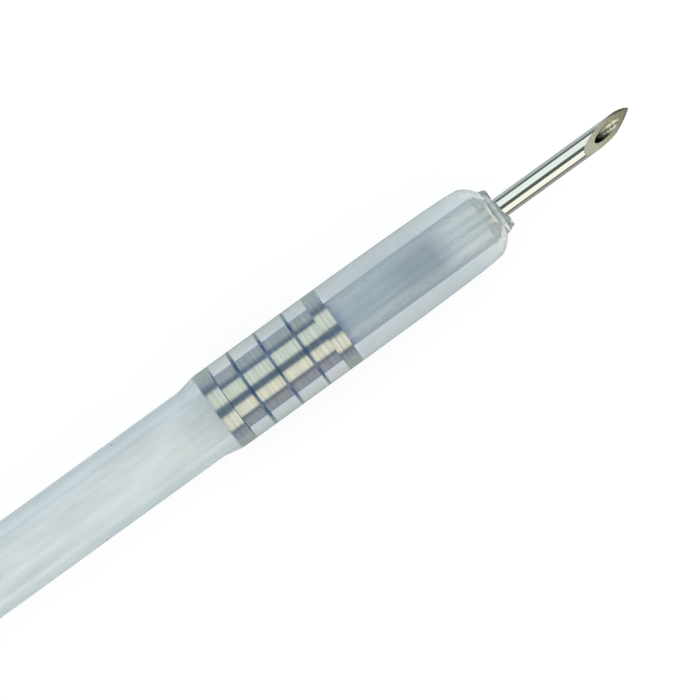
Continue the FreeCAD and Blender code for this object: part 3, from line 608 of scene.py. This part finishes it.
def steel(name, dark, light, roughness, scale, depth=0.0, fade=None):
    """Bare stainless steel. Its marks are noise with its own scale along X, Y and Z, which shades it
    between a dark and a light tone and raises it by depth. fade (start, end, colour) lets the tones pass
    over to that colour between two places along X in mm."""
    material, shader = finish(name, light, roughness)
    shader.inputs["Metallic"].default_value = 1.0
    nodes, links = material.node_tree.nodes, material.node_tree.links
    grain = stretched_noise(nodes, links, scale)
    tone = spread_of(nodes, links, grain, 0.35, 0.65, 0.0, 1.0)
    colour = blend_of(nodes, links, tone, dark, light)
    if fade:
        start, end, last = fade
        along = places_of(nodes, links)["X"]
        passed = spread_of(nodes, links, along, start * MM, end * MM, 0.0, 1.0)
        colour = blend_of(nodes, links, passed, colour, last)
    links.new(colour, shader.inputs["Base Color"])
    links.new(raised(nodes, links, grain, depth), shader.inputs["Normal"])
    return material


# The bush's steel is lighter and creamier than the needle's: painted warm highlight, standing in for the
# cream tint the sheath gives its reflections.
bush_steel_with_painted_warmth = steel("turned_bush_steel", (0.80, 0.75, 0.57), (1.0, 0.98, 0.82), 0.21, (9000, 60, 60),
                   0.0006 * MM)
# The ridges' steel is near black: painted shade, standing in for the dark lines that the ridges show through
# the sheath.
ridge_painted_shade_steel = steel("ridge_painted_shade_steel", (0.15, 0.18, 0.21), (0.28, 0.30, 0.32), 0.3, (9000, 60, 60))
# The profile's points 4 to 6 make the first ridge, and each next ridge comes four points later.
bush_finishes = np.zeros(len(bush_profile))
for ridge in range(3):
    bush_finishes[4 + 4 * ridge:7 + 4 * ridge] = 1
bush = skin("turned_bush", turned_grid(bush_profile[:, 0], bush_profile[:, 1]), TIP_AXIS,
            [bush_steel_with_painted_warmth, ridge_painted_shade_steel], bush_finishes)
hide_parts("stop_bush")
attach(bush, "handle")

# The needle is a drawn steel tube of 0.642 mm, ground with one long bevel and then two side facets that
# leave a sharp point. It slides with the inner tube.
NEEDLE_BACK = 123.4
NEEDLE_END = 144.68
NEEDLE_RADIUS = 0.321
NEEDLE_BORE = 0.1685
BEVEL_ROLL = 31.5
GRINDS = ((19.0, 0.0), (27.0, 30.0), (27.0, -30.0))


def ground_end(turn, radius):
    """How far forward the metal reaches at that turn and radius: the least over the three ground planes.
    A plane at angle a, rolled by r, reaches end - (height + point height) / tan a, where height is
    measured along the plane's own upward direction and all three pass through the point."""
    reach = np.inf
    for angle, roll in GRINDS:
        up = math.radians(90 + BEVEL_ROLL + roll)
        height = radius * np.cos(turn - up)
        low = NEEDLE_RADIUS * math.cos(math.radians(roll))
        reach = np.minimum(reach, NEEDLE_END - (height + low) / math.tan(math.radians(angle)))
    return reach


def needle_grid():
    """Rings along the outer wall to the ground end, across the ground face and back along the bore."""
    outer_end, inner_end = ground_end(TURNS, NEEDLE_RADIUS), ground_end(TURNS, NEEDLE_BORE)
    shares = np.concatenate([np.linspace(0, 0.86, 24), np.linspace(0.87, 1, 50)])[:, None]
    rings, finishes = [], []

    def ring(along, radius, surface):
        rings.append(np.stack([along, radius * np.cos(TURNS), radius * np.sin(TURNS)], axis=-1))
        finishes.append(surface)

    for share in shares:
        ring(NEEDLE_BACK + (outer_end - NEEDLE_BACK) * share, NEEDLE_RADIUS, int(share[0] == 1))
    for radius in np.linspace(NEEDLE_RADIUS, NEEDLE_BORE, 14)[1:-1]:
        ring(ground_end(TURNS, radius), radius, 1)
    for share in shares[::-1]:
        ring(NEEDLE_BACK + (inner_end - NEEDLE_BACK) * share, NEEDLE_BORE, 2)
    return np.array(rings), np.array(finishes)


needle_steel = steel("drawn_needle_steel", (0.82, 0.83, 0.81), (0.88, 0.89, 0.87), 0.08, (300, 9000, 9000))
point_fade = (NEEDLE_END - 1.5, NEEDLE_END - 0.05, (0.28, 0.26, 0.20))
ground_steel = steel("ground_steel", (0.50, 0.50, 0.43), (0.62, 0.62, 0.54), 0.42, (24000, 1500, 1500),
                     0.0012 * MM, point_fade)
# Deeper in the needle's bore the steel fades to near black: painted shade.
bore_painted_shade = (NEEDLE_END - 0.75, NEEDLE_END - 1.25, (0.03, 0.03, 0.02))
bore_steel = steel("bore_steel", (0.35, 0.34, 0.24), (0.90, 0.90, 0.78), 0.3, (12000, 12000, 12000),
                   0.01 * MM, bore_painted_shade)
needle_rings, needle_finishes = needle_grid()
needle = skin("ground_needle", needle_rings, TIP_AXIS, [needle_steel, ground_steel, bore_steel],
              needle_finishes, 12.0)
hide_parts("needle_cannula")
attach(needle, "needle")


# Inside the sheath, a drawn steel ferrule is crimped over the inner tube's end and the needle's tail. The
# inner tube is milky plastic. At its back it runs through a drawn steel guide tube.
def dress(name, material):
    """Gives a carried-over node its finish."""
    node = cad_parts[name]
    node.data.materials.clear()
    node.data.materials.append(material)


drawn_steel = steel("drawn_steel", (0.50, 0.50, 0.48), (0.62, 0.62, 0.60), 0.28, (200, 6000, 6000),
                    0.002 * MM)
TUBE_MILK = (0.84, 0.87, 0.86)
inner_plastic = clear_plastic("inner_plastic", 0.25, [(0, TUBE_MILK, 0.75)], [(0, TUBE_MILK, 0.8)])
for name in ("needle_ferrule", "guide_tube", "sheath_ferrule"):
    dress(name, drawn_steel)
for name in ("inner_tube_front", "inner_tube_rear"):
    dress(name, inner_plastic)
dress("sheath_root", line_plastic)

# The nose cap is a moulded white cone pressed into the barrel's front. It holds the sheath's ferrule.
BARREL_BACK = -28.0
BARREL_FRONT = 24.0
BARREL_RADIUS = 8.0
BARREL_BORE = 6.0
SEAM_TOP = 0.02 * MM
SEAM_FOOT = 0.09 * MM
SEAM_HEIGHT = 0.03 * MM


def moulded(name, colour, roughness, grain, depth, seam=True):
    """Moulded plastic: a colour with a faint mottle, a fine spark-eroded grain of that scale per metre and
    depth, patches of a little more gloss, and the thin raised line where the halves of the mould met."""
    material, shader = finish(name, colour, roughness)
    nodes, links = material.node_tree.nodes, material.node_tree.links
    mottle = spread_of(nodes, links, stretched_noise(nodes, links, (160, 160, 160)), 0.3, 0.7, 0.0, 1.0)
    dark = tuple(level * 0.94 for level in colour)
    links.new(blend_of(nodes, links, mottle, dark, colour), shader.inputs["Base Color"])
    patches = stretched_noise(nodes, links, (900, 900, 900), 5.0)
    gloss = spread_of(nodes, links, patches, 0.3, 0.7, roughness - 0.05, roughness + 0.06)
    links.new(gloss, shader.inputs["Roughness"])
    texture = raised(nodes, links, stretched_noise(nodes, links, (grain, grain, grain)), depth)
    if seam:
        height = worked_out(nodes, links, "SUBTRACT", places_of(nodes, links)["Z"], HANDLE_AXIS)
        away = worked_out(nodes, links, "ABSOLUTE", height, 0.0)
        line = spread_of(nodes, links, away, SEAM_TOP, SEAM_FOOT, 1.0, 0.0)
        texture = raised(nodes, links, line, SEAM_HEIGHT, texture)
    links.new(texture, shader.inputs["Normal"])
    return material


def turned_piece(name, corners, radius, materials, sharp=35.0):
    """A closed turned piece on the handle's axis through corners (along, radius), its corners rounded."""
    closed = corners + corners[:1]
    line = rounded(closed, radius, radius / 10, 6.0)
    return skin(name, turned_grid(line[:, 0], line[:, 1]), HANDLE_AXIS, materials, None, sharp)


white_plastic = moulded("moulded_white", (0.80, 0.81, 0.81), 0.36, 9000, 0.004 * MM)
nose_cap = turned_piece("nose_cone", [
    (BARREL_FRONT - 6, 0.85),
    (BARREL_FRONT - 6, BARREL_BORE),
    (BARREL_FRONT, BARREL_BORE),
    (BARREL_FRONT, BARREL_RADIUS),
    (BARREL_FRONT + 5, BARREL_RADIUS),
    (BARREL_FRONT + 11.5, 4.2),
    (BARREL_FRONT + 14, 4.2),
    (BARREL_FRONT + 14, 3.2),
    (BARREL_FRONT + 3.2, 3.2),
    (BARREL_FRONT + 3.2, 2.6),
    (BARREL_FRONT + 2, 2.6),
    (BARREL_FRONT + 2, 0.85),
], 0.4, [white_plastic])
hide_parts("nose_cap")
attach(nose_cap, "handle")

# The strain relief is a soft blue sleeve moulded over the sheath. Its rings step down towards its mouth, so
# that it bends evenly.
RELIEF_BACK = BARREL_FRONT + 3.2
RELIEF_RADIUS = 3.5
RELIEF_GROOVES = 5
RELIEF_PITCH = 3.4
GROOVE_WIDTH = 1.3
GROOVE_STEP = 0.35
soft_blue = moulded("soft_blue", (0.10, 0.25, 0.47), 0.55, 14000, 0.005 * MM)
relief_corners = [
    (RELIEF_BACK, 1.6),
    (RELIEF_BACK, 3.2),
    (BARREL_FRONT + 14, 3.2),
    (BARREL_FRONT + 14, RELIEF_RADIUS),
]
for groove in range(RELIEF_GROOVES):
    back = BARREL_FRONT + 16 + RELIEF_PITCH * groove
    front = back + GROOVE_WIDTH
    behind = RELIEF_RADIUS - GROOVE_STEP * groove
    ahead = behind - GROOVE_STEP
    floor_radius = ahead - GROOVE_STEP
    relief_corners += [(back, behind), (back, floor_radius), (front, floor_radius), (front, ahead)]
relief_corners += [
    (MOUTH, RELIEF_RADIUS - GROOVE_STEP * RELIEF_GROOVES),
    (MOUTH, SHEATH_RADIUS),
    (RELIEF_BACK + 5, SHEATH_RADIUS),
    (RELIEF_BACK + 5, 1.6),
]
relief = turned_piece("ringed_relief", relief_corners, 0.22, [soft_blue])
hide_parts("strain_relief")
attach(relief, "handle")


# The barrel is one white moulding: a tube with two finger wings at its back, grip rings, and a slot on top
# in which the stop pin runs.
def wing_outline(span, end, points):
    """Turns and radii of a wing plate's edge: a waisted cross of that span and the barrel's height, its
    corners rounded, sampled evenly along its length and given as polar places about the axis."""
    half, tall, low = span / 2, BARREL_RADIUS, BARREL_RADIUS - 1.2
    right = [
        (half * 0.45, -low),
        (half - end, -tall),
        (half - end * 0.35, -tall + 0.35),
        (half, -tall + 1 + end * 0.45),
        (half, tall - 1 - end * 0.45),
        (half - end * 0.35, tall - 0.35),
        (half - end, tall),
        (half * 0.45, low),
    ]
    corners = right + [(-across, up) for across, up in reversed(right)]
    corners = np.array(corners[3:] + corners[:4])
    corners = np.concatenate([corners[-3:-1], corners, corners[1:3]])
    line = rounded(corners, 1.0, 0.05, 0.0)
    turn = np.unwrap(np.arctan2(line[:, 1], line[:, 0]))
    inside = (turn >= 0) & (turn < 2 * np.pi)
    turn, radius = turn[inside], np.hypot(line[inside, 0], line[inside, 1])
    keep = np.linspace(0, len(turn) - 1, points, endpoint=False).astype(int)
    return turn[keep], radius[keep]


def plate_rings(back, thick, edge, radius, inner_back, inner_front):
    """Rings of a plate that stands round the axis: out over its back from inner_back to its edge, round
    the edge's two quarter turns, and in over its front to inner_front."""
    quarter = np.linspace(0, np.pi / 2, 6)
    rise, fall = edge * (1 - np.cos(quarter)), edge * (1 - np.sin(quarter))
    rings = [(back, inner_back + (radius - edge - inner_back) * share) for share in np.linspace(0, 1, 6)[:-1]]
    rings += [(back + along, radius - inset) for along, inset in zip(rise, fall)]
    rings += [(back + thick - along, radius - inset) for along, inset in zip(fall, rise)]
    rings += [(back + thick, radius - edge + (inner_front - radius + edge) * share)
              for share in np.linspace(0, 1, 6)[1:]]
    return [(np.full(len(radius), along), np.broadcast_to(size, radius.shape)) for along, size in rings]


def polar_grid(turn, rings):
    """Rings (along, radius at each turn) as points about the X axis."""
    along = np.array([ring[0] for ring in rings])
    radius = np.array([ring[1] for ring in rings])
    return np.stack([along, radius * np.cos(turn), radius * np.sin(turn)], axis=-1)


def even_rings(line, turn):
    """A profile (along, radius) as rings that are the same at every turn."""
    return [(np.full(len(turn), along), np.full(len(turn), radius)) for along, radius in line]


EDGE_POINTS = 280
WING_THICK = 4.5
GRIP_RINGS = 4
GRIP_START = 8.5
GRIP_PITCH = 4.6
GRIP_WIDTH = 2.2
GRIP_DEPTH = 0.5
SEAT_DEPTH = 7.0
SEAT_RADIUS = 6.6
turn, edge_line = wing_outline(40.0, 5.0, EDGE_POINTS)
edge_line = np.maximum(edge_line, BARREL_RADIUS)
grips = [(BARREL_BACK + WING_THICK, BARREL_RADIUS)]
for ring in range(GRIP_RINGS):
    back = BARREL_BACK + GRIP_START + GRIP_PITCH * ring
    front = back + GRIP_WIDTH
    low = BARREL_RADIUS - GRIP_DEPTH
    grips += [(back, BARREL_RADIUS), (back, low), (front, low), (front, BARREL_RADIUS)]
outside = rounded(grips + [(BARREL_FRONT, BARREL_RADIUS), (BARREL_FRONT, BARREL_BORE)], 0.3, 0.03, 6.0)
inside = rounded([
    (BARREL_FRONT, BARREL_BORE),
    (BARREL_BACK + SEAT_DEPTH, BARREL_BORE),
    (BARREL_BACK + SEAT_DEPTH, SEAT_RADIUS),
    (BARREL_BACK, SEAT_RADIUS),
], 0.1, 0.03, 15.0)
barrel_rings = plate_rings(BARREL_BACK, WING_THICK, 0.6, edge_line, SEAT_RADIUS, BARREL_RADIUS)
barrel_rings += even_rings(outside, turn) + even_rings(inside, turn)
barrel = skin("winged_barrel", polar_grid(turn, barrel_rings), HANDLE_AXIS, [white_plastic])
SLOT_BACK = 2.38
SLOT_FRONT = 11.82
SLOT_HALF = 1.25
SLOT_LOW = 9.0
SLOT_HIGH = 18.0


def cut_slot(piece, back, front, half, low, high):
    """Cuts an upright slot with round ends out of a piece, between those places along X."""
    turns = np.linspace(-np.pi / 2, np.pi / 2, 24)
    right = np.stack([front - half + half * np.cos(turns), half * np.sin(turns)], axis=1)
    left = np.stack([back + half - half * np.cos(turns), -half * np.sin(turns)], axis=1)
    edge = np.concatenate([right, left])
    count = len(edge)
    spots = [(x * MM, y * MM, z * MM) for z in (low, high) for x, y in edge]
    sides = [(i, (i + 1) % count, count + (i + 1) % count, count + i) for i in range(count)]
    mesh = bpy.data.meshes.new("slot_cutter")
    mesh.from_pydata(spots, [], [tuple(range(count))[::-1], tuple(range(count, 2 * count))] + sides)
    cutter = placed("slot_cutter", mesh)
    cut = piece.modifiers.new("slot", "BOOLEAN")
    cut.operation = "DIFFERENCE"
    cut.solver = "EXACT"
    cut.object = cutter
    result = bpy.data.meshes.new_from_object(piece.evaluated_get(bpy.context.evaluated_depsgraph_get()))
    piece.modifiers.clear()
    piece.data = result
    bpy.data.objects.remove(cutter)


cut_slot(barrel, SLOT_BACK, SLOT_FRONT, SLOT_HALF, SLOT_LOW, SLOT_HIGH)
barrel.data.shade_smooth()
barrel.data.set_sharp_from_angle(angle=math.radians(35))
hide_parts("barrel")
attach(barrel, "handle")

# The rear cap is a moulded ring pressed into the barrel's back. It guides the plunger rod, and between it and
# the barrel's step lies the split click ring.
rear_cap = turned_piece("back_cap", [
    (BARREL_BACK - 1.6, 4.05),
    (BARREL_BACK - 1.6, 6.8),
    (BARREL_BACK - 1.0, 7.4),
    (BARREL_BACK, 7.4),
    (BARREL_BACK, SEAT_RADIUS),
    (BARREL_BACK + 5, SEAT_RADIUS),
    (BARREL_BACK + 5, 4.05),
], 0.25, [white_plastic])
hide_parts("rear_cap")
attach(rear_cap, "handle")
dress("click_ring", steel("spring_steel", (0.42, 0.42, 0.41), (0.52, 0.52, 0.51), 0.3, (200, 6000, 6000)))

# The plunger is a blue hollow rod with a solid head in the barrel. The head carries a black ring and the
# steel stop pin, and the thumb grip is bonded on the rod's back end.
THUMB_BACK = -46.0
THUMB_THICK = 4.0
ROD_RADIUS = 4.0
ROD_BORE = 2.6
CLICK_PLACES = (-22.0, -15.0)
CLICK_HALF = 0.6
CLICK_DEPTH = 0.4
HEAD_BACK = 8.0
HEAD_FRONT = 17.0
HEAD_RADIUS = 5.95
RING_BACK = 13.4
RING_FRONT = 15.2
RING_DEPTH = 0.9
TUBE_HOLE = 0.8
blue_plastic = moulded("moulded_blue", (0.10, 0.27, 0.52), 0.32, 9000, 0.004 * MM)
rod_corners = [(THUMB_BACK, ROD_BORE), (THUMB_BACK, ROD_RADIUS)]
for place in CLICK_PLACES:
    rod_corners += [
        (place - CLICK_HALF, ROD_RADIUS),
        (place, ROD_RADIUS - CLICK_DEPTH),
        (place + CLICK_HALF, ROD_RADIUS),
    ]
rod_corners += [
    (HEAD_BACK, ROD_RADIUS),
    (HEAD_BACK, HEAD_RADIUS),
    (RING_BACK, HEAD_RADIUS),
    (RING_BACK, HEAD_RADIUS - RING_DEPTH),
    (RING_FRONT, HEAD_RADIUS - RING_DEPTH),
    (RING_FRONT, HEAD_RADIUS),
    (HEAD_FRONT - 0.5, HEAD_RADIUS),
    (HEAD_FRONT, HEAD_RADIUS - 0.5),
    (HEAD_FRONT, TUBE_HOLE),
    (HEAD_BACK - 2, TUBE_HOLE),
    (HEAD_BACK - 2, ROD_BORE),
]
rod = turned_piece("plunger_stem", rod_corners, 0.15, [blue_plastic])
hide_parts("plunger_rod")
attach(rod, "plunger")
dress("plunger_ring", moulded("ring_rubber", (0.03, 0.03, 0.03), 0.5, 12000, 0.003 * MM, False))

turn, edge_line = wing_outline(28.0, 5.0, EDGE_POINTS)
thumb_rings = plate_rings(THUMB_BACK, THUMB_THICK, 0.8, edge_line, ROD_RADIUS, ROD_RADIUS)
thumb = skin("thumb_plate", polar_grid(turn, thumb_rings), HANDLE_AXIS, [blue_plastic])
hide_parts("thumb_grip")
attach(thumb, "plunger")

PIN_ALONG = 10.6
PIN_LOW = 10.4
PIN_TOP = 16.6
PIN_RADIUS = 1.2
PIN_EDGE = 0.3
pin_line = rounded([
    (PIN_LOW, 0.0),
    (PIN_LOW, PIN_RADIUS),
    (PIN_TOP - PIN_EDGE, PIN_RADIUS),
    (PIN_TOP, PIN_RADIUS - PIN_EDGE),
    (PIN_TOP, 0.0),
], 0.15, 0.02, 6.0)
pin_grid = turned_grid(pin_line[:, 0], pin_line[:, 1])[..., [2, 1, 0]]
pin_grid[..., 0] += PIN_ALONG
pin = skin("stop_stud", pin_grid, 0.0, [drawn_steel])
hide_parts("stop_pin")
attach(pin, "plunger")

# The syringe inlet is a clear moulded hub: a socket with the standard 6 percent taper and two lugs for a
# locking syringe, a collar against the thumb grip, and a spigot bonded in the rod.
INLET_BACK = -58.0
HUB_RADIUS = 3.35
LUG_THICK = 1.1
LUG_EDGE = 0.15
LUG_HALF = 1.3
LUG_REACH = 3.9
inlet_line = rounded([
    (INLET_BACK + LUG_THICK, HUB_RADIUS),
    (INLET_BACK + 9, HUB_RADIUS),
    (INLET_BACK + 10.2, 5.0),
    (INLET_BACK + 12, 5.0),
    (INLET_BACK + 12, ROD_BORE),
    (INLET_BACK + 19, ROD_BORE),
    (INLET_BACK + 19, TUBE_HOLE),
    (INLET_BACK + 9, TUBE_HOLE),
    (INLET_BACK + 8, 1.9),
    (INLET_BACK, 2.14),
], 0.2, 0.02, 6.0)
turn = np.linspace(0, 2 * np.pi, EDGE_POINTS, endpoint=False)
# A bar of LUG_HALF either side of the axis, cut off at LUG_REACH, stands out of the hub as two lugs.
side_reach = LUG_HALF / np.maximum(abs(np.sin(turn)), 0.01)
end_reach = LUG_REACH / np.maximum(abs(np.cos(turn)), 0.01)
lugs = np.maximum(np.minimum(side_reach, end_reach), HUB_RADIUS)
lug_edges = ((0.0, LUG_EDGE), (LUG_EDGE, 0.0), (LUG_THICK - LUG_EDGE, 0.0), (LUG_THICK, LUG_EDGE))
inlet_rings = [(np.full(EDGE_POINTS, INLET_BACK + along), lugs - inset) for along, inset in lug_edges]
inlet_rings += even_rings(inlet_line, turn)
INLET_MILK = (0.82, 0.86, 0.88)
inlet_plastic = clear_plastic("inlet_plastic", 0.08, [(0, INLET_MILK, 0.22)], [(0, INLET_MILK, 0.25)])
inlet = skin("inlet_hub", polar_grid(turn, inlet_rings), HANDLE_AXIS, [inlet_plastic])
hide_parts("syringe_inlet")
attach(inlet, "plunger")

# The coil's tie is a strip of white paper-like film, wrapped once round all the turns and stuck on itself. It
# follows the turns, with a slight dip between one and the next.
TIE_TURNS = (77.5, 102.5)
TIE_INNER = 0.03
TIE_OUTER = 0.17
TIE_DIP = 0.09


def tie_band(shares):
    """A strip round the coil's square section: at share u of the way round, the section's edge is a square
    with corners of the sheath's own radius, dipped a little between the turns. The strip fills the space
    from TIE_INNER to TIE_OUTER outside that edge, and is carried round the coil between its two turns."""
    half = (COIL_ROWS - 1) / 2 * COIL_PITCH
    spot = np.mod(shares, 1) * 4
    side, along = np.floor(spot).astype(int) % 4, (np.mod(spot, 1) - 0.5) * 2
    bend = np.clip(abs(along) * 1.25 - 1.0, 0, 1) * np.sign(along) * np.pi
    flat = np.clip(along * 1.25, -1, 1) * half
    dip = TIE_DIP * (1 - np.cos(2 * np.pi * (flat + half) / COIL_PITCH)) * (abs(along) < 0.8)
    layers = []
    for thick in (TIE_INNER, TIE_OUTER):
        reach = SHEATH_RADIUS + thick - dip
        out, up = half + reach * np.cos(bend), flat + reach * np.sin(bend)
        face = side * np.pi / 2
        layers.append((out * np.cos(face) - up * np.sin(face), out * np.sin(face) + up * np.cos(face)))
    (in_r, in_z), (out_r, out_z) = layers
    turns = np.radians(np.linspace(*TIE_TURNS, 9))
    rings = [(in_r, in_z, turns[0])] + [(out_r, out_z, at) for at in turns] + [(in_r, in_z, turns[-1])]
    rings += [(in_r, in_z, at) for at in turns[-2:0:-1]]
    middle = COIL_LOW + half
    centre = COIL_RADIUS + half + COIL_PITCH
    return np.array([np.stack([
        COIL_ALONG + (COIL_RADIUS + r) * np.cos(at), centre + (COIL_RADIUS + r) * np.sin(at), middle + z,
    ], axis=-1) for r, z, at in rings])


film, film_shader = finish("tie_film", (0.82, 0.82, 0.79), 0.7)
nodes, links = film.node_tree.nodes, film.node_tree.links
fibres = stretched_noise(nodes, links, (900, 5000, 5000), 6.0)
fibre_tone = spread_of(nodes, links, fibres, 0.3, 0.7, 0.0, 1.0)
film_colour = blend_of(nodes, links, fibre_tone, (0.72, 0.71, 0.67), (0.84, 0.84, 0.81))
links.new(film_colour, film_shader.inputs["Base Color"])
links.new(raised(nodes, links, fibres, 0.02 * MM), film_shader.inputs["Normal"])
tie = skin("tie_strip", tie_band(np.linspace(0, 1, 160, endpoint=False)), 0.0, [film])
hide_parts("coil_tie")
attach(tie, "handle")
